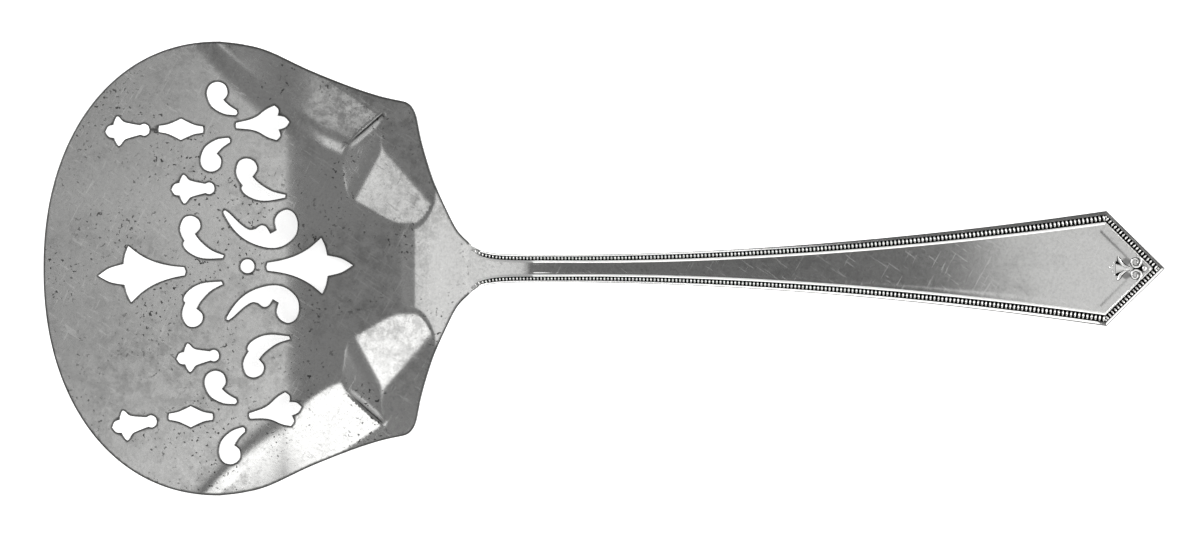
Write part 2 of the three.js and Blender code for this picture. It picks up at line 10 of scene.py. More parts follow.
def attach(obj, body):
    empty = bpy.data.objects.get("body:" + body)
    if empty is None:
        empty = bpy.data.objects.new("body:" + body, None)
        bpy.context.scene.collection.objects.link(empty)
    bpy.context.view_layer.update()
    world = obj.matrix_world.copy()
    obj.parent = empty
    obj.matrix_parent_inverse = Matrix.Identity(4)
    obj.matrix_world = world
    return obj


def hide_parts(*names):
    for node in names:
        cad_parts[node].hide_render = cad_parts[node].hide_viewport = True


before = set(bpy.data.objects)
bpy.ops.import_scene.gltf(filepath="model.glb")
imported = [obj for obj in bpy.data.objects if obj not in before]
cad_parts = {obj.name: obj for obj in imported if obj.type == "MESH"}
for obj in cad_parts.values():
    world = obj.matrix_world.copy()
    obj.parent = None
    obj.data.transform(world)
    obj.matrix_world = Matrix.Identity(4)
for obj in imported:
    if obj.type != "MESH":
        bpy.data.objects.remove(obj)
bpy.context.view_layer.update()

# A silver cucumber server, in millimetres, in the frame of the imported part: X runs from the front of
# the bowl to the tip of the handle, Y runs across, and Z is up from the table.
METRES = 0.001
scene = bpy.context.scene

# Whole server
overall_length = 158.8
bowl_length = 60.2
bowl_width = 64.3
seam_thickness = 0.3

# Pierced bowl
sheet_thickness = 1.2
neck_thickness = 2.4
neck_thickening_length = 8
neck_thickening_half_width = 9
neck_half_width = 3.4
front_depth = 24.9
front_power = 2.15
front_slope = 0.14
front_fold_x = 37
front_fold_blend = 3
side_rise = 1.3
flat_half_width = 10
bowl_edge_round = 0.15

# Raised corner flap on each side of the neck
side_wall_slope = 0.3
side_wall_angle = 65
side_wall_bend = 61
corner_wall_slope = 0.327
corner_wall_angle = 8
wall_foot_x = 41.9
wall_foot_y = 16.6
back_wall_slope = 0.2
back_wall_angle = 60
back_wall_foot_x = 49.1
back_wall_foot_y = 6
side_blend = 0.75
wall_blend = 0.2
valley_blend = 0.12
ridge_blend = 0.3
lip_start_height = 0.43
lip_slope = 0.08
lip_blend = 0.1
crease_length = 8.6
crease_fade = 4
crease_end_fade = 0.8
crease_depth = 0.13
crease_side_width = 0.35
crease_corner_width = 1

# Side view of the handle
approach_start = 49.1
approach_slope = 0.1
approach_blend = 0.15
ramp_start = 52.9
ramp_slope = 0.5
ramp_blend = 0.6
crest_start = 64.5
crest_blend = 8
arch_power = 2.7
shank_thickness = 2.9
tip_thickness = 1.9
thickening_length = 14

# Handle seen from above
shank_half_width = 1.95
narrowest_x = 74.2
end_half_width = 8.15
tip_length = 8.3
taper_power = 1.8
flare_length = 1.65

# Struck border at its full width, in from the edge: rim, bead row, groove, fillet, band, panel
edge_drop = 0.25
rim_width = 0.5
step_run = 0.08
bead_row_width = 0.78
groove_width = 0.14
fillet_width = 0.26
band_width = 1.05
channel_depth = 0.32
channel_wall_steepness = 3
bead_height = 0.42
fillet_height = 0.13
fillet_shank_gain = 0.13
panel_depth = 0.04
panel_start = 8.4
panel_start_run = 0.7
border_fade = 2.2
back_bevel_width = 0.9
back_bevel_height = 0.5
border_shank_share = 0.53
band_shank_share = 0.27
border_growth_power = 0.55
border_tip_share = 0.78
bead_pitch_shank = 0.48
bead_pitch_end = 0.588
bead_length_share = 0.34
bead_width_share = 0.6
bead_foot_share = 0.5
corner_bead_inset_share = 0.3
corner_bead_radius = 0.2

# Ornament struck at the tip
volute_setback = 4.15
volute_spacing = 1.5
volute_radius = 0.7
volute_wire = 0.17
volute_height = 0.2
volute_power = 0.7
volute_turns = 1.35
volute_start_angle = 75
volute_thinning = 3
pellet_setback = 2.9
pellet_radius = 0.4
stamen_radius = 0.13
recess_front = 4.7
recess_back = 2.15
recess_half_width = 1.05
rhombus_sharpness = 4
flower_setback = 4.95
flower_length = 3.1
flower_half_width = 1.8
flower_height = 0.24
shadow_setback = 5.55
shadow_length = 1.9
shadow_across = 0.92
shadow_half_width = 0.75
shadow_darkness = 0.5

# Piercings, by the length of each motif
large_fleur_length = 12.35
small_fleur_length = 6.15
medium_fleur_length = 7.55
lozenge_length = 6.3
small_comma_length = 4.25
comma_length = 6.5
scroll_length = 8.75
centre_hole_radius = 0.97

# How finely the pieces are faceted
edge_step = 0.22
fine_step = 0.4
fine_grid_start = 22
coarse_step = 0.9
crease_step = 0.3
slope_step = 0.05
ring_gap = 0.005
nearest_segments = 4
cdt_gap = 0.0001
weld_gap = 0.0005
station_step = 0.7
start_station_step = 0.06
fine_stations_before = 3
fine_stations_after = 14
tip_stations = 40
back_bevel_lines = 5
bisection_steps = 40
dome_sides = 12
dome_rings = 4
dome_sunk_share = 0.5
volute_steps = 40
petal_step = 0.1
sharp_angle = 20

# Photograph: straight down from far away
photo_width = 1200
photo_scale = 0.14179
view_centre_x = -0.64
view_centre_y = 0.14
camera_distance = 3000
sensor_width = 36

# Studio: a plain pale floor, a dark sky and soft cards around it
card_distance = 1500
floor_size = 12000
floor_gap = 0.02
floor_colour = 0.8
floor_roughness = 0.9
floor_glow = 0.72
sky_light = 0.19

# Each card: the two angles of the direction that it is seen in, the angles that it fills across and
# along, its radiance, and its shape if it is no rectangle
cards = [
    ("tail_card", 6, 28.5, 46, 31, 0.65),
    ("neck_card", 180, 55, 30, 22, 0.52),
    ("shank_card", 180, 30, 6, 29, 0.62),
    ("key_card", 114, 31, 15, 27, 0.9, "ELLIPSE"),
    ("fill_card", 244.6, 39.6, 3.4, 3.8, 0.62),
    ("lobe_card", 238, 24, 6, 8, 0.68),
    ("low_card", 283, 74, 84, 28, 2),
    ("back_card", 90, 84, 50, 10, 1.6),
    ("far_card", 8, 70, 36, 24, 7),
    ("near_card", 152, 72, 40, 24, 7),
]

# Patterns of the silver: the size of the marks, the detail, roughness and shift of their noise, and
# the range of the noise that they fade in over
cloud_pattern = (14, 4, 0.55, 0, 0.35, 0.68)
mottle_pattern = (1.6, 5, 0.7, 1, 0.36, 0.66)
pit_patch_pattern = (9, 3, 0.6, 3, 0.42, 0.6)
dust_pattern = (0.4, 3, 0.7, 4, 0.4, 0.7)
pit_pattern = (0.5, 1, 0.5, 5, 0.64, 0.7)
grain_noise = (0.5, 2, 0.6, 2)
grain_range = (0.3, 0.7)

# Scratches lie along two directions: the angle of each, which is its shift too, and its range
scratch_noise = (0.35, 2, 0.6)
scratch_sets = [(35, 0.63, 0.68), (-62, 0.64, 0.69)]

# Finish of the silver: how deep its marks are, their tones and how much they roughen the face
silver_warmth = 0.985
grain_depth = 0.0012
grain_roughening = 1.1
pit_depth = 0.8
dust_share = 0.3
scratch_stretch_share = 0.07
# Width over which the painted shade along the bowl's edges fades out
edge_shade_width = 3
neck_tone = 0.9
panel_tone = 0.7
tone_fade = 16
cloud_dark_share = 0.62
pit_tone = 0.12
# Tone of scratches and wear, and of the painted highlight on the handle's raised lines
worn_and_highlight_tone = 0.97
# Painted shade, with tarnish in the hollows: the near-black tone of grooves, creases, feet and outlines
tarnish_and_shade_tone = 0.01
# Painted shade: the tone of the dark line along every edge of the bowl
edge_shade_tone = 0.12
dull_roughness = 0.04
worn_roughness = 0.22
dark_roughness = 0.45
scratch_roughness = 0.25

# Each silver: tarnish, roughness, pitting, scratching, tone of its edge marks and their start. On the
# bowl the edge marks are painted shade along every edge; on the handle they are wear and a painted
# highlight on raised lines
bowl_finish = (0.9, 0.13, 1, 0.3, edge_shade_tone, 0.93)
handle_finish = (0.6, 0.12, 0.15, 0.4, worn_and_highlight_tone, 0)
solder_finish = (0.8, 0.14, 0, 0, worn_and_highlight_tone, 0)

# The colour sockets of a mix node
mix_inputs = (6, 7)
mix_output = 2

# Places worked out from the sizes above
front_x = -overall_length / 2
tip_x = overall_length / 2
seam_x = front_x + bowl_length
handle_x = seam_x + seam_thickness
end_x = tip_x - tip_length
shank_x = front_x + narrowest_x
half_bowl = bowl_width / 2
widest_x = front_x + front_depth
tip_angle = atan2(end_half_width, tip_length)


def add_object(name, data):
    data.name = name
    added = bpy.data.objects.new(name, data)
    scene.collection.objects.link(added)
    return added


def new_material(name):
    material = bpy.data.materials.new(name)
    material.use_nodes = True
    return material, material.node_tree.nodes["Principled BSDF"]


def add_camera():
    data = bpy.data.cameras.new("camera")
    data.sensor_width = sensor_width
    data.lens = sensor_width * camera_distance / (photo_width * photo_scale)
    camera = add_object("camera", data)
    camera.location = Vector((view_centre_x, view_centre_y, camera_distance)) * METRES
    scene.camera = camera


# A card is a soft area light that faces the server
def add_card(name, azimuth, zenith, across, along, radiance, shape="RECTANGLE"):
    turn = radians(azimuth)
    lean = radians(zenith)
    away = Vector((sin(lean) * cos(turn), sin(lean) * sin(turn), cos(lean)))
    data = bpy.data.lights.new(name, "AREA")
    data.shape = shape
    data.size = 2 * card_distance * METRES * tan(radians(across) / 2)
    data.size_y = 2 * card_distance * METRES * tan(radians(along) / 2)
    data.energy = radiance * pi * data.size * data.size_y
    card = add_object(name, data)
    card.location = away * card_distance * METRES
    card.rotation_mode = "QUATERNION"
    card.rotation_quaternion = away.to_track_quat("Z", "Y")
    card.visible_camera = False


def add_light():
    world = bpy.data.worlds.new("sky")
    world.use_nodes = True
    background = world.node_tree.nodes["Background"]
    background.inputs["Color"].default_value = (sky_light, sky_light, sky_light, 1)
    scene.world = world
    scene.view_settings.view_transform = "Standard"
    for card in cards:
        add_card(*card)


add_camera()
add_light()


# Formulas of the side view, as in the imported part
def smooth_step(value):
    share = np.clip(value, 0, 1)
    return share * share * (3 - 2 * share)


def ramp_up(distance, blend):
    inside = (distance + blend) ** 2 / (4 * blend)
    return np.where(distance <= -blend, 0, np.where(distance >= blend, distance, inside))


def blended_max(first, second, blend):
    return second + ramp_up(first - second, blend)


def blended_min(first, second, blend):
    return first - ramp_up(first - second, blend)


def arch_share(x):
    share = np.maximum(x - (front_x + crest_start), 0) / (tip_x - front_x - crest_start)
    return share ** arch_power


def levelling(x):
    return ramp_slope * ramp_up(x - (front_x + crest_start), crest_blend)


def ramp_rise(x):
    approach = approach_slope * (x - (front_x + approach_start))
    ramp = ramp_slope * (x - (front_x + ramp_start))
    return ramp_up(blended_max(ramp, approach, ramp_blend), approach_blend)


# The two blends of the bowl's face lift its floor a little, and the floor height makes up for it
floor_height = sheet_thickness - float(ramp_up(valley_blend / 4, valley_blend))


def handle_thickness(x):
    thickening = smooth_step((x - handle_x) / thickening_length)
    taper = np.clip((x - handle_x) / (tip_x - handle_x), 0, 1)
    shank = neck_thickness + (shank_thickness - neck_thickness) * thickening
    return shank + (tip_thickness - shank_thickness) * taper


# The arch ends where the back of the tip comes down to the table
def arch_drop():
    rest_x = tip_crossing(Line(back_bevel_width))
    standing = floor_height + ramp_rise(rest_x) - levelling(rest_x) - handle_thickness(rest_x)
    return standing / arch_share(rest_x)


def line_top(x):
    return floor_height + ramp_rise(x) - levelling(x) - tail_drop * arch_share(x)


# Height of the bowl's top face at any place
def wall_plane(x, y, foot_x, foot_y, angle, slope):
    along = x - (front_x + foot_x)
    across = np.abs(y) - foot_y
    turn = radians(angle)
    return slope * (along * cos(turn) + across * sin(turn))


# The foot of the side wall bends outward as it runs to the front
def side_wall(x, y):
    side = wall_plane(x, y, wall_foot_x, wall_foot_y, side_wall_angle, side_wall_slope)
    ahead = np.maximum(front_x + wall_foot_x - x, 0)
    return ramp_up(side - side_wall_slope * ahead**2 / side_wall_bend, side_blend)


# Three walls climb to a lip, which ends them all
def flap_height(x, y):
    corner = wall_plane(x, y, wall_foot_x, wall_foot_y, corner_wall_angle, corner_wall_slope)
    back = wall_plane(x, y, back_wall_foot_x, back_wall_foot_y, back_wall_angle, back_wall_slope)
    back_part = ramp_up(blended_min(back, corner, ridge_blend), wall_blend)
    walls = blended_max(side_wall(x, y), back_part, valley_blend)
    return blended_min(walls, lip_start_height + lip_slope * np.abs(y), lip_blend)


# The crease runs up the valley where the side wall and the corner wall meet
def valley_turn():
    side = radians(side_wall_angle)
    corner = radians(corner_wall_angle)
    rise_x = corner_wall_slope * cos(corner) - side_wall_slope * cos(side)
    rise_y = side_wall_slope * sin(side) - corner_wall_slope * sin(corner)
    return atan2(rise_x, rise_y)


crease_turn = valley_turn()


# Place of a point against the crease: how far up it, and how far off it on the side wall's side
def crease_place(x, y):
    along = x - (front_x + wall_foot_x)
    across = np.abs(y) - wall_foot_y
    run = along * cos(crease_turn) + across * sin(crease_turn)
    off = across * cos(crease_turn) - along * sin(crease_turn)
    return run, off


def crease_height(x, y):
    run, off = crease_place(x, y)
    fade = smooth_step(run / crease_fade) * smooth_step((crease_length - run) / crease_end_fade)
    side_share = np.clip(1 - off / crease_side_width, 0, 1)
    corner_share = np.clip(1 + off / crease_corner_width, 0, 1) ** 2
    return -crease_depth * fade * np.where(off > 0, side_share, corner_share)


def bowl_top(x, y):
    front = front_slope * ramp_up(front_x + front_fold_x - x, front_fold_blend)
    side = np.maximum(np.abs(y) - flat_half_width, 0) / (half_bowl - flat_half_width)
    dish = front + side_rise * side**2
    formed = blended_max(flap_height(x, y), ramp_rise(x), valley_blend) - levelling(x)
    return floor_height + dish + formed + crease_height(x, y)


def bowl_thickness(x, y):
    neck_edge = handle_half_width(seam_x)
    along = smooth_step((x - seam_x) / neck_thickening_length + 1)
    across = 1 - smooth_step((np.abs(y) - neck_edge) / (neck_thickening_half_width - neck_edge))
    return sheet_thickness + (neck_thickness - sheet_thickness) * along * across


def bowl_bottom(x, y):
    return bowl_top(x, y) - bowl_thickness(x, y)


# A line along the handle: its distance in from the edge, its height where the border is, what the
# panel and the ornament add to that, its part of the band, how dark its tarnish and painted shade are,
# how bright its wear and painted highlight, its added distance at the shank, and its height over the back
Line = namedtuple("Line", "inset edge struck band recess bright gain lift", defaults=[0] * 7)


# Handle outline, and the lines of its border
def taper_share(x):
    return np.clip((x - shank_x) / (end_x - shank_x), 0, 1) ** taper_power


def handle_half_width(x):
    taper = (end_half_width - shank_half_width) * taper_share(x)
    flare = (neck_half_width - shank_half_width) * np.exp((handle_x - x) / flare_length)
    return shank_half_width + taper + flare


def border_share(x, shank_share):
    return shank_share + (1 - shank_share) * taper_share(x) ** border_growth_power


def side_inset(line, x):
    border = line.inset * border_share(x, border_shank_share)
    gain = line.gain * (1 - border_share(x, 0))
    return border + line.band * border_share(x, band_shank_share) + gain


def tip_inset(line):
    if line.band > 0:
        return line.inset + line.band
    return line.inset * border_tip_share


def tip_crossing(line):
    return tip_x - tip_inset(line) / sin(tip_angle)


def tip_half_width(line, x):
    return (tip_crossing(line) - x) * tan(tip_angle)


def corner_place(line):
    low = shank_x
    high = tip_x
    for _ in range(bisection_steps):
        middle = (low + high) / 2
        if handle_half_width(middle) - side_inset(line, middle) < tip_half_width(line, middle):
            low = middle
        else:
            high = middle
    return low


# A station runs from 0 at the seam to 1 at the corner and 2 at the tip
def plan_places(line, stations):
    corner_x = corner_place(line)
    side_x = handle_x + (corner_x - handle_x) * np.minimum(stations, 1)
    slant_x = corner_x + (tip_crossing(line) - corner_x) * (stations - 1)
    on_side = stations <= 1
    x = np.where(on_side, side_x, slant_x)
    side_y = handle_half_width(side_x) - side_inset(line, side_x)
    y = np.where(on_side, side_y, np.maximum(tip_half_width(line, x), 0))
    return x, np.where(stations < 2, y, 0)


tail_drop = arch_drop()


# Meshes
def make_mesh(points, faces, attributes, normals=None):
    mesh = bpy.data.meshes.new("mesh")
    mesh.from_pydata((np.asarray(points) * METRES).tolist(), [], [list(face) for face in faces])
    for label, values in attributes.items():
        layer = mesh.attributes.new(label, "FLOAT", "POINT")
        layer.data.foreach_set("value", np.asarray(values, dtype=np.float32))
    mesh.shade_smooth()
    if normals is not None:
        mesh.normals_split_custom_set_from_vertices(normals.tolist())
    return mesh


def add_piece(name, mesh, slot, material, *nodes):
    piece = add_object(name, mesh)
    mesh.materials.append(material)
    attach(piece, "root")
    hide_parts(*nodes)


# A smooth line through points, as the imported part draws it, without its last point
def smooth_line(points, step):
    points = [np.array(point, dtype=float) for point in (points[0], *points, points[-1])]
    places = []
    for before, start, end, after in zip(points, points[1:], points[2:], points[3:]):
        leaving = (end - before) / 2
        arriving = (after - start) / 2
        count = max(ceil(np.linalg.norm(end - start) / step), 2)
        for k in range(count):
            t = k / count
            cubic = (2 * start - 2 * end + leaving + arriving) * t**3
            square = (-3 * start + 3 * end - 2 * leaving - arriving) * t**2
            places.append(cubic + square + leaving * t + start)
    return places


# Rim of the bowl behind its widest place, in shares of its length from the front and half width
side_rim_shares = [
    (0.47, 0.987), (0.53, 0.957), (0.625, 0.874), (0.72, 0.803), (0.79, 0.76), (0.845, 0.737),
]
corner_shares = (0.873, 0.727)
back_rim_shares = [
    (0.88, 0.64), (0.889, 0.558), (0.904, 0.459), (0.92, 0.372), (0.945, 0.267), (0.972, 0.17),
]


def bowl_place(shares):
    return np.array([front_x + bowl_length * shares[0], half_bowl * shares[1]])


def corner_curve(start, middle, end):
    count = ceil(np.linalg.norm(end - start) / edge_step)
    shares = [i / count for i in range(count)]
    return [start * (1 - t) ** 2 + middle * 2 * t * (1 - t) + end * t**2 for t in shares]


def mirrored(half):
    return [(x, -y) for x, y in reversed(half)]


def half_rim():
    front_steps = ceil(pi * half_bowl / 2 / edge_step)
    arc = []
    for i in range(front_steps):
        angle = pi / 2 * i / front_steps
        depth = front_depth * cos(angle) ** (2 / front_power)
        arc.append(np.array([widest_x - depth, half_bowl * sin(angle) ** (2 / front_power)]))
    side = smooth_line([(widest_x, half_bowl), *map(bowl_place, side_rim_shares)], edge_step)
    corner_places = (side_rim_shares[-1], corner_shares, back_rim_shares[0])
    corner = corner_curve(*map(bowl_place, corner_places))
    neck = (seam_x, handle_half_width(seam_x))
    back = smooth_line([*map(bowl_place, back_rim_shares), neck], edge_step)
    return [*arc, *side, *corner, *back, neck]


# Piercing motifs, in shares of the motif's length: runs of smooth line, each up to the corner that
# the next one starts at
large_fleur_half_shares = [
    [(0, 0), (0.13, 0.078)],
    [(0.295, 0.118), (0.318, 0.225)],
    [(0.36, 0.322), (0.5, 0.205), (0.655, 0.122), (0.82, 0.072)],
    [(0.985, 0.045)],
    [(1, 0)],
]
small_fleur_half_shares = [
    [(0, 0), (0.07, 0.115)],
    [(0.19, 0.145), (0.225, 0.245), (0.285, 0.335)],
    [(0.345, 0.295), (0.42, 0.205), (0.54, 0.162)],
    [(0.79, 0.105), (0.885, 0.135), (0.975, 0.085)],
    [(1, 0)],
]
medium_fleur_half_shares = [
    [(0, 0), (0.08, 0.093)],
    [(0.21, 0.128), (0.185, 0.24)],
    [(0.255, 0.322), (0.37, 0.28), (0.46, 0.232), (0.59, 0.145), (0.74, 0.09)],
    [(0.99, 0.05)],
    [(1, 0)],
]
lozenge_half_shares = [
    [(0, 0)],
    [(0.01, 0.068), (0.23, 0.112)],
    [(0.5, 0.238), (0.77, 0.112)],
    [(0.99, 0.068)],
    [(1, 0)],
]
small_comma_shares = [
    [(0.19, -0.26), (0.33, -0.06), (0.26, 0.22), (0, 0.33), (-0.26, 0.21), (-0.34, -0.09),
     (-0.18, -0.48), (0.21, -0.72)],
    [(0.6, -0.77), (0.655, -0.71)],
    [(0.64, -0.62), (0.38, -0.45)],
    [(0.19, -0.26)],
]
comma_shares = [
    [(0.12, -0.16), (0.22, 0), (0.16, 0.16), (0, 0.225), (-0.16, 0.16), (-0.22, -0.04), (-0.18, -0.2)],
    [(-0.08, -0.35), (-0.105, -0.41), (-0.06, -0.5), (0.06, -0.59), (0.25, -0.66), (0.47, -0.67)],
    [(0.815, -0.61)],
    [(0.83, -0.55), (0.54, -0.475), (0.27, -0.31)],
    [(0.12, -0.16)],
]
scroll_shares = [
    [(-0.99, 0.17), (-1.01, 0.12), (-0.845, -0.14), (-0.62, -0.325), (-0.31, -0.43), (-0.065, -0.405),
     (0.13, -0.25), (0.18, -0.055), (0.13, 0.11), (0.01, 0.18), (-0.12, 0.125), (-0.185, 0.005)],
    [(-0.155, -0.15)],
    [(-0.26, -0.21), (-0.33, -0.1), (-0.41, -0.075)],
    [(-0.495, -0.13), (-0.6, -0.145), (-0.74, -0.055), (-0.91, 0.11)],
    [(-0.99, 0.17)],
]

# Each piercing: its motif and the motif's length, its place in shares of the bowl's length and half
# width, its turn in degrees, its size share and its flip
large_fleur = (large_fleur_half_shares, large_fleur_length)
small_fleur = (small_fleur_half_shares, small_fleur_length)
medium_fleur = (medium_fleur_half_shares, medium_fleur_length)
lozenge = (lozenge_half_shares, lozenge_length)
small_comma = (small_comma_shares, small_comma_length)
comma = (comma_shares, comma_length)
scroll = (scroll_shares, scroll_length)
piercing_shares = [
    (large_fleur, 0.231, -0.022, 3),
    (large_fleur, 0.6245, 0.011, 181, 0.99),
    (small_fleur, 0.197, 0.607, 3, 1.01),
    (small_fleur, 0.3505, 0.351, 2, 0.985),
    (small_fleur, 0.362, -0.39, 5, 0.975),
    (small_fleur, 0.2135, -0.685, 9, 1.03),
    (medium_fleur, 0.514, 0.638, 184),
    (medium_fleur, 0.544, -0.63, 190, 0.99),
    (lozenge, 0.3225, 0.613, -1),
    (lozenge, 0.3455, -0.653, 0, 0.99),
    (small_comma, 0.408, 0.778, 0),
    (small_comma, 0.393, 0.471, 2, 1, -1),
    (small_comma, 0.403, -0.496, 3, 1.03),
    (small_comma, 0.438, -0.818, 13, 1.01, -1),
    (comma, 0.4765, 0.438, 0, 1.02),
    (comma, 0.3445, 0.187, -8, 0.97),
    (comma, 0.35, -0.213, 14, 0.97, -1),
    (comma, 0.493, -0.434, 4, 1, -1),
    (scroll, 0.57, 0.2095, 0),
    (scroll, 0.5735, -0.192, -2, 0.97, -1),
]
centre_hole_shares = (0.4785, 0.01)


# A motif that doesn't end where it starts is the upper half of one
def motif_places(runs, length):
    places = []
    for run, next_run in zip(runs, runs[1:]):
        places += smooth_line([*run, next_run[0]], edge_step / length)
    if runs[-1][0] != runs[0][0]:
        places = np.array([*places, (1, 0), *mirrored(places[1:])]) - np.array([1 / 2, 0])
    return np.array(places)


def piercing_loop(motif, along_share, across_share, turn, size_share=1, flip=1):
    size = motif[1] * size_share
    places = motif_places(*motif) * np.array([size, size * flip])
    angle = radians(turn)
    turned = places @ np.array([[cos(angle), sin(angle)], [-sin(angle), cos(angle)]])
    return turned + bowl_place((along_share, across_share))


def centre_hole_loop():
    count = ceil(2 * pi * centre_hole_radius / edge_step)
    angles = 2 * pi * np.arange(count) / count
    circle = np.column_stack([np.cos(angles), np.sin(angles)]) * centre_hole_radius
    return circle + bowl_place(centre_hole_shares)


# Every loop runs with the metal on its left
def turned_left(loop, is_outline):
    after = np.roll(loop, -1, axis=0)
    area = np.sum(loop[:, 0] * after[:, 1] - after[:, 0] * loop[:, 1])
    return loop if (area > 0) == is_outline else loop[::-1]


def round_insets():
    return [bowl_edge_round * (1 - cos(angle)) for angle in (pi / 4, pi / 2)]


def bowl_loops():
    upper = half_rim()
    neck_edge = upper[-1][1]
    insets = [*round_insets(), *np.arange(2 * edge_step, neck_edge, 2 * edge_step)]
    half = [*upper, *[(seam_x, neck_edge - inset) for inset in insets], (seam_x, 0)]
    outline = turned_left(np.array([*half, *mirrored(half[1:-1])]), True)
    holes = [piercing_loop(*piercing) for piercing in piercing_shares]
    return [outline, *[turned_left(hole, False) for hole in [*holes, centre_hole_loop()]]]


# Unit directions to the left of steps
def leftward(steps):
    return np.column_stack([-steps[:, 1], steps[:, 0]]) / np.linalg.norm(steps, axis=1)[:, None]


# The rounded edge of the sheet: segments of all loops but the one across the neck, which is joined
class Edge:
    def __init__(self, loops):
        starts = np.concatenate(loops)
        ends = np.concatenate([np.roll(loop, -1, axis=0) for loop in loops])
        free = (starts[:, 0] < seam_x - cdt_gap) | (ends[:, 0] < seam_x - cdt_gap)
        self.starts = starts[free]
        self.steps = (ends - starts)[free]
        self.inward = leftward(self.steps)
        self.tree = kdtree.KDTree(len(self.starts))
        for i, place in enumerate(self.starts + self.steps / 2):
            self.tree.insert((*place, 0), i)
        self.tree.balance()

    # Distance from a place to the edge, and the unit direction from the edge into the metal
    def reach(self, place):
        near = [i for _, i, _ in self.tree.find_n((*place, 0), nearest_segments)]
        steps = self.steps[near]
        offset = place - self.starts[near]
        shares = np.clip(np.sum(offset * steps, axis=1) / np.sum(steps**2, axis=1), 0, 1)
        away = offset - steps * shares[:, None]
        distances = np.linalg.norm(away, axis=1)
        best = np.argmin(distances)
        distance = distances[best]
        if distance > cdt_gap:
            return distance, away[best] / distance
        touching = distances <= distance + cdt_gap
        inward = np.sum(self.inward[near][touching], axis=0)
        return 0.0, inward / max(np.linalg.norm(inward), cdt_gap)


def ring_points(loops, edge):
    points = []
    for loop in loops:
        inward = leftward(np.roll(loop, -1, axis=0) - np.roll(loop, 1, axis=0))
        for inset in round_insets():
            for place in loop + inward * inset:
                if edge.reach(place)[0] > inset - ring_gap:
                    points.append(place)
    return points


# Lines along the crease, in shares of its width on the corner wall's side
crease_line_shares = [1, 0.75, 0.5, 0.25, 0]


def crease_points():
    points = []
    edges = []
    foot = np.array([front_x + wall_foot_x, wall_foot_y])
    up = np.array([cos(crease_turn), sin(crease_turn)])
    aside = np.array([-up[1], up[0]])
    offs = [-crease_corner_width * share for share in crease_line_shares]
    offs += [crease_side_width / 2, crease_side_width, crease_side_width + crease_step]
    count = ceil(crease_length / crease_step)
    for off in offs:
        for i in range(count + 1):
            place = foot + up * crease_length * i / count + aside * off
            for side in (1, -1):
                points.append(place * np.array([1, side]))
                if i > 0:
                    edges.append((len(points) - 3, len(points) - 1))
    return points, edges


def grid_part(start, end, step):
    across = np.arange(-half_bowl, half_bowl, step)
    return [(x, y) for x in np.arange(start, end, step) for y in across]


def grid_points():
    flap_x = front_x + fine_grid_start
    return np.array(grid_part(front_x, flap_x, coarse_step) + grid_part(flap_x, seam_x, fine_step))


# Whether each place lies in the metal, by how often a line from it to the right meets the loops
def in_metal(places, loops):
    inside = np.zeros(len(places), dtype=bool)
    for loop in loops:
        for (x0, y0), (x1, y1) in zip(loop, np.roll(loop, -1, axis=0)):
            if y0 != y1:
                crosses = (places[:, 1] < y0) != (places[:, 1] < y1)
                inside ^= crosses & (places[:, 0] < x0 + (places[:, 1] - y0) * (x1 - x0) / (y1 - y0))
    return inside


def bowl_plan(loops, edge):
    points = []
    edges = []
    for loop in loops:
        start = len(points)
        points += list(loop)
        edges += [(start + i, start + (i + 1) % len(loop)) for i in range(len(loop))]
    creases, crease_edges = crease_points()
    start = len(points)
    edges += [(start + i, start + j) for i, j in crease_edges]
    points += creases
    points += ring_points(loops, edge)
    grid = grid_points()
    grid = grid[in_metal(grid, loops)]
    points += [place for place in grid if edge.reach(place)[0] > 2 * bowl_edge_round]
    plan, _, triangles, *_ = geometry.delaunay_2d_cdt(
        [Vector(point) for point in points], edges, [], 0, cdt_gap
    )
    places = np.array([point[:] for point in plan])
    triangles = np.array(triangles)
    return places, triangles[in_metal(places[triangles].mean(axis=1), loops)]


def face_normals(height, x, y):
    slope_x = (height(x + slope_step, y) - height(x - slope_step, y)) / (2 * slope_step)
    slope_y = (height(x, y + slope_step) - height(x, y - slope_step)) / (2 * slope_step)
    normals = np.column_stack([-slope_x, -slope_y, np.ones(len(x))])
    return normals / np.linalg.norm(normals, axis=1)[:, None]


def open_edges(triangles):
    seen = {}
    for a, b, c in triangles.tolist():
        for pair in ((a, b), (b, c), (c, a)):
            seen[frozenset(pair)] = None if frozenset(pair) in seen else pair
    return [pair for pair in seen.values() if pair]


def bowl_mesh():
    loops = bowl_loops()
    edge = Edge(loops)
    places, triangles = bowl_plan(loops, edge)
    x = places[:, 0]
    y = places[:, 1]
    distance, inward = map(np.array, zip(*[edge.reach(place) for place in places]))
    lean = np.clip(1 - distance / bowl_edge_round, 0, 1)
    upright = np.sqrt(1 - lean**2)
    drop = bowl_edge_round * (1 - upright)
    outward = np.column_stack([-inward * lean[:, None], np.zeros(len(x))])
    points = []
    normals = []
    for height, side in ((bowl_top, 1), (bowl_bottom, -1)):
        points.append(np.column_stack([x, y, height(x, y) - side * drop]))
        normals.append(side * face_normals(height, x, y) * upright[:, None] + outward)
    count = len(places)
    faces = triangles.tolist()
    faces += (triangles[:, ::-1] + count).tolist()
    faces += [(b, a, a + count, b + count) for a, b in open_edges(triangles)]
    # Painted shade: a dark line along every edge of the bowl, carried as its edge mark
    edge_shade = 1 - smooth_step(distance / edge_shade_width)
    # Painted shade: a dark line down the crease, deepest where the crease is deepest
    recess = np.clip(-crease_height(x, y) / crease_depth, 0, 1)
    marks = {"edge": np.tile(edge_shade, 2), "recess": np.tile(recess, 2)}
    return make_mesh(np.concatenate(points), faces, marks, np.concatenate(normals))


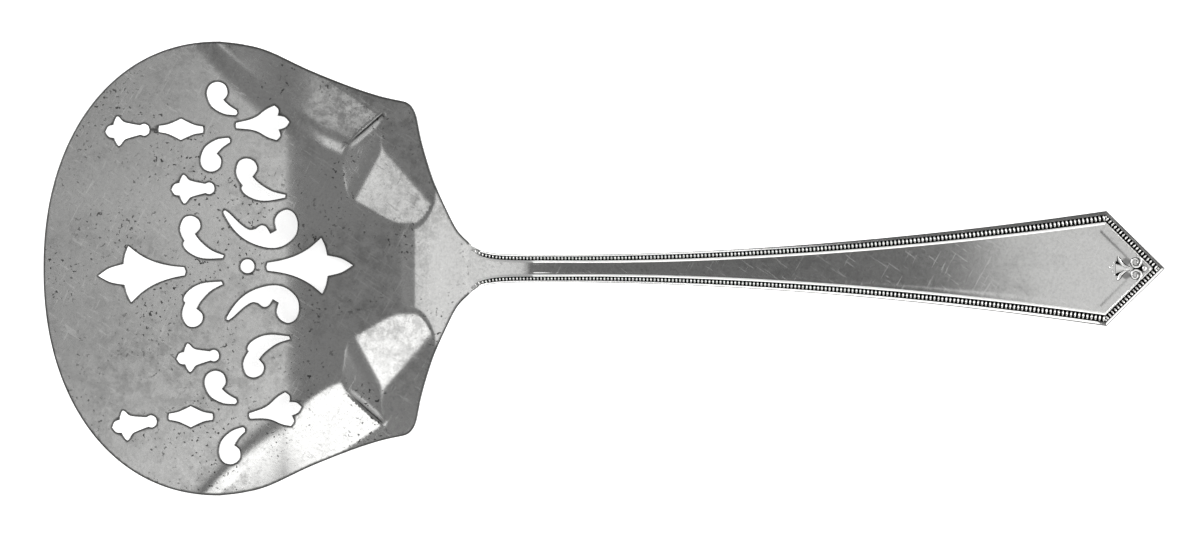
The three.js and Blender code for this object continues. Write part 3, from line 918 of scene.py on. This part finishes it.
rim_facet_shares = [(0, 0), (0.2, 0.16), (0.22, 0.18), (0.84, 0.96), (0.93, 1), (1, 0.96)]
# Rim lines nearer the edge than this share carry painted shade, a dark outline
rim_shade_share = 0.21
fillet_roof_shares = [(-1, 0), (-0.12, 1), (0.12, 1), (1, 0)]
panel_edge_shares = [(0, 0), (0.2, 0.08), (0.4, 0.32), (0.6, 0.68), (0.8, 0.92), (1, 1)]
flat_band_shares = [0, 0.15, 0.3]


def top_lines():
    bead_start = rim_width + step_run
    bead_end = bead_start + bead_row_width
    fillet_foot = bead_end + groove_width
    fillet_middle = fillet_foot + step_run + fillet_width / 2
    fillet_half = step_run / 2 + fillet_width / 2
    band_start = fillet_foot + step_run + fillet_width + step_run
    lines = []
    # The outermost rim lines carry painted shade, a dark outline along the handle's edge
    for share, rise in rim_facet_shares:
        lines.append(Line(rim_width * share, edge_drop * (rise - 1), recess=share < rim_shade_share))
    # The channel under the beads carries tarnish and painted shade
    channel_start = rim_width + step_run / channel_wall_steepness
    for inset in (channel_start, (bead_start + bead_end) / 2, fillet_foot):
        lines.append(Line(inset, -channel_depth, recess=1))
    # The fillet carries wear and a painted highlight
    for share, rise in fillet_roof_shares:
        inset = fillet_middle + fillet_half * share
        gain = fillet_shank_gain * (1 + share) / 2
        lines.append(Line(inset, 0, fillet_height * rise, bright=1, gain=gain))
    for share in flat_band_shares:
        lines.append(Line(band_start, 0, band=band_width * share, gain=fillet_shank_gain))
    for run, fall in panel_edge_shares:
        band = band_width * (flat_band_shares[-1] + (1 - flat_band_shares[-1]) * run)
        inset = band_start + step_run * run
        lines.append(Line(inset, 0, -panel_depth * fall, band, gain=fillet_shank_gain))
    return lines


def back_line(angle):
    return Line(back_bevel_width * (1 - cos(angle)), lift=back_bevel_height * (1 - sin(angle)))


def handle_stations():
    length = end_x - handle_x
    start = panel_start / length
    fine = start_station_step / length
    around = np.arange(start - fine_stations_before * fine, start + fine_stations_after * fine, fine)
    before_end = start - (fine_stations_before + 1) * fine
    before = np.linspace(0, before_end, ceil(panel_start / station_step))
    after = np.linspace(around[-1] + fine, 1, ceil((length - panel_start) / station_step))
    slant = 1 + np.arange(1, tip_stations + 1) / tip_stations
    return np.concatenate([before, around, after, slant])


def corner_drop(inset):
    lean = np.clip(1 - inset / bowl_edge_round, 0, 1)
    return bowl_edge_round * (1 - np.sqrt(1 - lean**2))


def in_rhombus(x, y, middle_x, middle_y, half_length, half_width):
    reach = np.abs(x - middle_x) / half_length + np.abs(np.abs(y) - middle_y) / half_width
    return smooth_step((1 - reach) * rhombus_sharpness)


def in_recess(x, y):
    middle = tip_x - (recess_front + recess_back) / 2
    return in_rhombus(x, y, middle, 0, (recess_front - recess_back) / 2, recess_half_width)


# Tarnish and painted shade in the sunk recess, and painted shade on the face between the flower and the
# ends of the band
def tip_dark(x, y):
    middle = tip_x - shadow_setback
    shadow = in_rhombus(x, y, middle, shadow_across, shadow_length / 2, shadow_half_width)
    return np.maximum(in_recess(x, y), shadow_darkness * shadow)


def top_heights(line, x, y):
    fade = smooth_step((x - handle_x) / border_fade)
    start = smooth_step((x - handle_x - panel_start) / panel_start_run)
    plain = -corner_drop(line.inset * border_share(x, border_shank_share))
    struck = line.struck * start
    sunk = np.minimum(struck, struck - (panel_depth + struck) * in_recess(x, y))
    return line_top(x) + plain * (1 - fade) + line.edge * fade + sunk


def back_heights(line, x):
    fade = smooth_step((x - handle_x) / border_fade)
    plain = corner_drop(line.inset)
    return line_top(x) - handle_thickness(x) + plain * (1 - fade) + line.lift * fade


# Rows of the panel between its edge and its middle line, in shares of its half width
panel_row_shares = [0.85, 0.7, 0.55, 0.4, 0.2, 0]


# Points side by side: their places, how dark their tarnish is and how bright their wear
def point_row(x, y, z, dark, bright):
    return np.array(np.broadcast_arrays(x, y, z, dark, bright)).T


def handle_mesh():
    stations = handle_stations()
    rows = []
    for angle in reversed(np.linspace(0, pi / 2, back_bevel_lines)):
        line = back_line(angle)
        x, y = plan_places(line, stations)
        rows.append(point_row(x, y, back_heights(line, x), 0, 0))
    rows.insert(0, rows[0] * np.array([1, 0, 1, 1, 1]))
    for line in top_lines():
        x, y = plan_places(line, stations)
        fade = smooth_step((x - handle_x) / border_fade)
        dark = np.maximum(line.recess * fade, tip_dark(x, y))
        rows.append(point_row(x, y, top_heights(line, x, y), dark, line.bright * fade))
    x, y, z, *_ = rows[-1].T
    for share in panel_row_shares:
        rows.append(point_row(x, y * share, z, tip_dark(x, y * share), 0))
    count = len(stations)
    other_side = [row * np.array([1, -1, 1, 1, 1]) for row in rows]
    faces = []
    half = len(rows) * count
    for i in range(len(rows) - 1):
        for j in range(count - 1):
            a = i * count + j
            quad = [a, a + count, a + count + 1, a + 1]
            faces.append(quad)
            faces.append([half + corner for corner in reversed(quad)])
    for i in range(len(rows) - 1):
        a = i * count
        faces.append([half + a, half + a + count, a + count, a])
    return marked_mesh(np.concatenate(rows + other_side), faces)


# Joins points that meet and drops the faces that this closes up
def weld(mesh):
    work = bmesh.new()
    work.from_mesh(mesh)
    bmesh.ops.remove_doubles(work, verts=work.verts, dist=weld_gap * METRES)
    bmesh.ops.dissolve_degenerate(work, edges=work.edges, dist=weld_gap * METRES)
    bmesh.ops.recalc_face_normals(work, faces=work.faces)
    work.to_mesh(mesh)
    work.free()
    mesh.set_sharp_from_angle(angle=radians(sharp_angle))
    return mesh


# A mesh whose points carry how dark and how bright they are behind their places
def marked_mesh(points, faces):
    x, y, z, dark, bright = np.array(points).T
    return weld(make_mesh(np.column_stack([x, y, z]), faces, {"recess": dark, "edge": bright}))


def merged(parts):
    points = []
    faces = []
    for part_points, part_faces in parts:
        start = len(points)
        points += list(part_points)
        faces += [[start + corner for corner in face] for face in part_faces]
    return points, faces


# Small domes: beads, pellet and stamens. Each is a closed shell whose foot is sunk in the face.
def dome_template():
    rings = []
    for i in range(dome_rings):
        angle = pi / 2 * i / dome_rings
        for k in range(dome_sides):
            turn = 2 * pi * k / dome_sides
            rings.append((cos(angle) * cos(turn), cos(angle) * sin(turn), sin(angle)))
    foot = [(x, y, -dome_sunk_share) for x, y, _ in rings[:dome_sides]]
    points = np.array([*foot, *rings, (0, 0, 1)])
    faces = [list(range(dome_sides))[::-1]]
    for i in range(dome_rings):
        for k in range(dome_sides):
            a = i * dome_sides + k
            b = i * dome_sides + (k + 1) % dome_sides
            faces.append([a, b, b + dome_sides, a + dome_sides])
    last = dome_rings * dome_sides
    for k in range(dome_sides):
        faces.append([last + k, last + (k + 1) % dome_sides, last + dome_sides])
    return points, faces


# Each dome: its place, the direction that it lies along, and its half length, half width and height
def domes_mesh(domes):
    template, template_faces = dome_template()
    parts = []
    for place, turn, half_length, half_width, height in domes:
        scaled = template * np.array([half_length, half_width, height])
        turned = scaled @ np.array([[cos(turn), sin(turn), 0], [-sin(turn), cos(turn), 0], [0, 0, 1]])
        parts.append((turned + place, template_faces))
    # Painted shade at the foot of each dome; its top carries wear and a painted highlight
    rise = np.tile(np.clip(template[:, 2], 0, 1), len(domes))
    dark = 1 - smooth_step(rise / bead_foot_share)
    return make_mesh(*merged(parts), {"recess": dark, "edge": 1 - dark})


def bead_stations():
    side_length = end_x - handle_x
    side_beads = round(2 * side_length / (bead_pitch_shank + bead_pitch_end))
    tip_beads = round(tip_length / cos(tip_angle) / bead_pitch_end) - 1
    growth = (bead_pitch_end - bead_pitch_shank) / (bead_pitch_end + bead_pitch_shank)
    shares = np.arange(side_beads + 1) / side_beads
    side = shares * (1 - growth) + shares**2 * growth
    return np.concatenate([side, 1 + np.arange(1, tip_beads + 1) / tip_beads])


def beads_mesh():
    middle = Line(rim_width + step_run + bead_row_width / 2)
    joints = bead_stations()
    stations = (joints[1:] + joints[:-1]) / 2
    step_x, step_y = np.diff(plan_places(middle, joints))
    x, y = plan_places(middle, stations)
    domes = []
    for i in range(len(stations)):
        fade = float(smooth_step((x[i] - handle_x) / border_fade))
        pitch = hypot(step_x[i], step_y[i])
        turn = atan2(step_y[i], step_x[i])
        share = border_tip_share if stations[i] > 1 else float(border_share(x[i], border_shank_share))
        z = line_top(x[i]) - channel_depth * fade
        half_width = bead_row_width * share * bead_width_share
        for side in (1, -1):
            if fade > 0:
                place = np.array([x[i], side * y[i], z])
                size = (pitch * bead_length_share, half_width, bead_height * fade)
                domes.append((place, side * turn, *size))
    gap = Line(rim_width + step_run + bead_row_width * corner_bead_inset_share)
    corner_x = corner_place(gap)
    corner_y = float(tip_half_width(gap, corner_x))
    crossing = tip_crossing(gap)
    for place_x, place_y in ((corner_x, corner_y), (corner_x, -corner_y), (crossing, 0)):
        place = np.array([place_x, place_y, line_top(place_x) - channel_depth])
        domes.append((place, 0, corner_bead_radius, corner_bead_radius, bead_height))
    return domes_mesh(domes)


# A ridge is a round-topped strip along a line on the face. Painted shade at its foot spreads to both
# sides, and its top carries wear and a painted highlight.
# For each line along it: place across, height, how dark and how bright, in shares
ridge_shares = [
    (-1.5, -0.3, 1, 0), (-1.5, 0.1, 1, 0), (-1, 0.25, 1, 0), (-0.8, 0.7, 0, 1), (-0.4, 0.95, 0, 1),
    (0.4, 0.95, 0, 1), (0.8, 0.7, 0, 1), (1, 0.25, 1, 0), (1.5, 0.1, 1, 0), (1.5, -0.3, 1, 0),
]


# Faces of a closed tube of rings, the ends too
def tube_faces(rings, size):
    faces = []
    for i in range(rings - 1):
        for k in range(size):
            a = i * size + k
            b = i * size + (k + 1) % size
            faces.append([a, a + size, b + size, b])
    last = (rings - 1) * size
    faces.append(list(range(size)))
    faces.append([last + k for k in reversed(range(size))])
    return faces


def ridge(places, half_widths, height, level):
    places = np.array(places)
    points = []
    for place, side, half_width in zip(places, leftward(np.gradient(places, axis=0)), half_widths):
        for across_share, height_share, dark, bright in ridge_shares:
            spot = place + side * half_width * across_share
            z = line_top(spot[0]) + level + height * height_share
            points.append((*spot, z, dark, bright))
    return points, tube_faces(len(places), len(ridge_shares))


def joined(parts):
    return marked_mesh(*merged(parts))


# A spiral that winds in from the band's end, the upper one clockwise, the lower its mirror image
def volute(side):
    centre = np.array([tip_x - volute_setback, volute_spacing / 2 + volute_wire])
    places = []
    widths = []
    for i in range(volute_steps + 1):
        share = i / volute_steps
        angle = radians(volute_start_angle) - 2 * pi * volute_turns * share
        radius = volute_radius * (1 - share) ** volute_power + volute_wire
        place = centre + np.array([cos(angle), sin(angle)]) * radius
        places.append(place * np.array([1, side]))
        widths.append(volute_wire * (1 - share / volute_thinning))
    return ridge(places, widths, volute_height, 0)


# Bellflower, in shares of its length from the stem and of its half width
outer_petal_shares = [(0, 0.1), (0.16, 0.16), (0.32, 0.3), (0.46, 0.55), (0.57, 0.98)]
outer_petal_width_shares = [0.04, 0.08, 0.12, 0.13, 0.03]
bell_shares = [(0, 0.02), (0.2, 0.04), (0.42, 0.08), (0.66, 0.1)]
bell_width_shares = [0.08, 0.16, 0.3, 0.42]
stamen_shares = [(0.72, 0.42), (0.8, 0.2), (0.86, 0), (0.8, -0.22), (0.7, -0.45), (0.94, 0.08)]


def flower_spot(shares, side):
    x = tip_x - flower_setback - flower_length * shares[0]
    return np.array([x, side * flower_half_width * shares[1]])


def petal(side, place_shares, width_shares):
    places = smooth_line([flower_spot(shares, side) for shares in place_shares], petal_step)
    places.append(flower_spot(place_shares[-1], side))
    along = np.linspace(0, 1, len(places))
    marks = np.linspace(0, 1, len(width_shares))
    widths = np.interp(along, marks, width_shares) * flower_half_width
    return ridge(places, widths, flower_height, -panel_depth)


def flower_parts():
    parts = [petal(side, outer_petal_shares, outer_petal_width_shares) for side in (1, -1)]
    parts.append(petal(1, [(along, 0) for along, _ in bell_shares], bell_width_shares))
    return parts


def round_dome(spot, radius):
    place = np.array([*spot, line_top(spot[0]) - panel_depth])
    return place, 0, radius, radius, radius


def ornament_domes():
    stamens = [round_dome(flower_spot(shares, 1), stamen_radius) for shares in stamen_shares]
    return [round_dome((tip_x - pellet_setback, 0), pellet_radius), *stamens]


# Seam: the same section as the neck on both sides of the joint
def seam_mesh():
    rows = []
    for x in (seam_x, handle_x):
        width = float(handle_half_width(x))
        insets = [0, *round_insets(), 2 * bowl_edge_round, width / 2, width]
        top = [(x, width - inset, line_top(x) - corner_drop(inset)) for inset in insets]
        bottom = [(x, y, z - neck_thickness + 2 * float(corner_drop(width - y))) for x, y, z in top]
        half = [*bottom[::-1], *top]
        rows.append([*half, *[(x, -y, z) for x, y, z in half[::-1]]])
    points = [(*place, 0, 0) for row in rows for place in row]
    return marked_mesh(points, tube_faces(len(rows), len(rows[0])))


# Materials. Their places are in metres. An input is a plain value or the output of another node.
def socket(node, name, value):
    if isinstance(value, bpy.types.NodeSocket):
        node.id_data.links.new(value, node.inputs[name])
    else:
        node.inputs[name].default_value = value


def add_node(tree, kind, inputs, **values):
    node = tree.nodes.new(kind)
    for name, value in values.items():
        setattr(node, name, value)
    for name, value in inputs.items():
        socket(node, name, value)
    return node


def noise(tree, place, size, detail, roughness, shift):
    moved = add_node(tree, "ShaderNodeVectorMath", {0: place, 1: (shift, shift, shift)}, operation="ADD")
    values = {"Scale": 1 / (size * METRES), "Detail": detail, "Roughness": roughness}
    return add_node(tree, "ShaderNodeTexNoise", {"Vector": moved.outputs[0], **values}).outputs["Fac"]


def shaded(tree, value, low, high, result_low=0, result_high=1):
    ends = {"From Min": low, "From Max": high, "To Min": result_low, "To Max": result_high}
    node = add_node(tree, "ShaderNodeMapRange", {"Value": value, **ends}, interpolation_type="SMOOTHSTEP")
    return node.outputs["Result"]


def pattern(tree, place, size, detail, roughness, shift, low, high, strength=1):
    return shaded(tree, noise(tree, place, size, detail, roughness, shift), low, high, 0, strength)


def sums(tree, operation, first, second, clamped=True):
    node = add_node(tree, "ShaderNodeMath", {0: first, 1: second}, operation=operation, use_clamp=clamped)
    return node.outputs[0]


def product(tree, first, second):
    return sums(tree, "MULTIPLY", first, second, False)


def mixed(tree, share, first, second):
    inputs = {0: share, **dict(zip(mix_inputs, (first, second)))}
    return add_node(tree, "ShaderNodeMix", inputs, data_type="RGBA").outputs[mix_output]


def grey(value):
    return (value, value, value * silver_warmth, 1)


def attribute(tree, name):
    return add_node(tree, "ShaderNodeAttribute", {}, attribute_name=name).outputs["Fac"]


# Fine scratches: noise drawn out along one direction, so thin that only its peaks show
def scratches(tree, place, turn, *limits):
    turned = add_node(tree, "ShaderNodeMapping", {"Vector": place, "Rotation": (0, 0, radians(turn))})
    stretch = {"Vector": turned.outputs[0], "Scale": (scratch_stretch_share, 1, 1)}
    drawn_out = add_node(tree, "ShaderNodeMapping", stretch).outputs[0]
    return pattern(tree, drawn_out, *scratch_noise, turn, *limits)


def silver(name, tarnish, roughness, pitting, scratching, edge_tone, edge_from):
    material, shader = new_material(name)
    tree = material.node_tree
    place = add_node(tree, "ShaderNodeTexCoord", {}).outputs["Object"]
    clouds = pattern(tree, place, *cloud_pattern)
    mottle = pattern(tree, place, *mottle_pattern)
    grain = noise(tree, place, *grain_noise)
    dull = product(tree, product(tree, clouds, mottle), tarnish)
    dull = sums(tree, "ADD", dull, pattern(tree, place, *dust_pattern, dust_share))
    along = add_node(tree, "ShaderNodeSeparateXYZ", {0: place}).outputs["X"]
    far = shaded(tree, along, seam_x * METRES, (seam_x + tone_fade) * METRES)
    clean = mixed(tree, far, grey(neck_tone), grey(panel_tone))
    cloudy = mixed(tree, far, grey(neck_tone * cloud_dark_share), grey(panel_tone * cloud_dark_share))
    base = mixed(tree, dull, clean, cloudy)
    patch = pattern(tree, place, *pit_patch_pattern)
    pits = pattern(tree, place, *pit_pattern)
    pitted = product(tree, product(tree, pits, patch), pitting)
    base = mixed(tree, pitted, base, grey(pit_tone))
    marks = sums(tree, "ADD", *[scratches(tree, place, *values) for values in scratch_sets])
    marked = product(tree, marks, scratching)
    base = mixed(tree, marked, base, grey(worn_and_highlight_tone))
    # Edge marks: painted shade along the bowl's edges, wear and a painted highlight on the handle's
    # raised lines
    wear_and_painted_light = shaded(tree, attribute(tree, "edge"), edge_from, 1)
    base = mixed(tree, wear_and_painted_light, base, grey(edge_tone))
    # Painted shade, with tarnish in the hollows: near black in the handle's channel, on its rim's outer
    # line, at the feet of raised parts, at the tip and in the bowl's crease
    dark = attribute(tree, "recess")
    socket(shader, "Base Color", mixed(tree, dark, base, grey(tarnish_and_shade_tone)))
    socket(shader, "Metallic", 1)
    rough = shaded(tree, grain, *grain_range, roughness, roughness * grain_roughening)
    roughened = (dull, dull_roughness), (wear_and_painted_light, worn_roughness), (dark, dark_roughness)
    for mark, gain in (*roughened, (marked, scratch_roughness)):
        rough = sums(tree, "ADD", rough, product(tree, mark, gain))
    socket(shader, "Roughness", rough)
    relief = sums(tree, "SUBTRACT", grain, product(tree, pitted, pit_depth))
    bump = {"Height": relief, "Distance": grain_depth * METRES, "Strength": 1}
    socket(shader, "Normal", add_node(tree, "ShaderNodeBump", bump).outputs["Normal"])
    return material


def add_floor():
    half = floor_size / 2
    corners = [(-half, -half), (half, -half), (half, half), (-half, half)]
    mesh = make_mesh([(x, y, -floor_gap) for x, y in corners], [range(len(corners))], {})
    material, shader = new_material("floor_paper")
    socket(shader, "Base Color", (floor_colour, floor_colour, floor_colour, 1))
    socket(shader, "Roughness", floor_roughness)
    socket(shader, "Emission Color", (1, 1, 1, 1))
    socket(shader, "Emission Strength", floor_glow)
    mesh.materials.append(material)
    floor = add_object("floor", mesh)


bowl_silver = silver("bowl_silver_worn", *bowl_finish)
handle_silver = silver("handle_silver_worn", *handle_finish)
solder_silver = silver("solder_worn", *solder_finish)
handle_meshes = [
    ("handle_body", handle_mesh()),
    ("bead_rows", beads_mesh()),
    ("volutes", joined([volute(1), volute(-1)])),
    ("bellflower", joined(flower_parts())),
    ("pellet_and_stamens", domes_mesh(ornament_domes())),
]

add_piece("bowl_sheet", bowl_mesh(), "bowl_silver", bowl_silver, "bowl")
add_piece("seam_wafer", seam_mesh(), "solder", solder_silver, "solder_seam")
for name, mesh in handle_meshes:
    add_piece(name, mesh, "handle_silver", handle_silver, "handle")
add_floor()
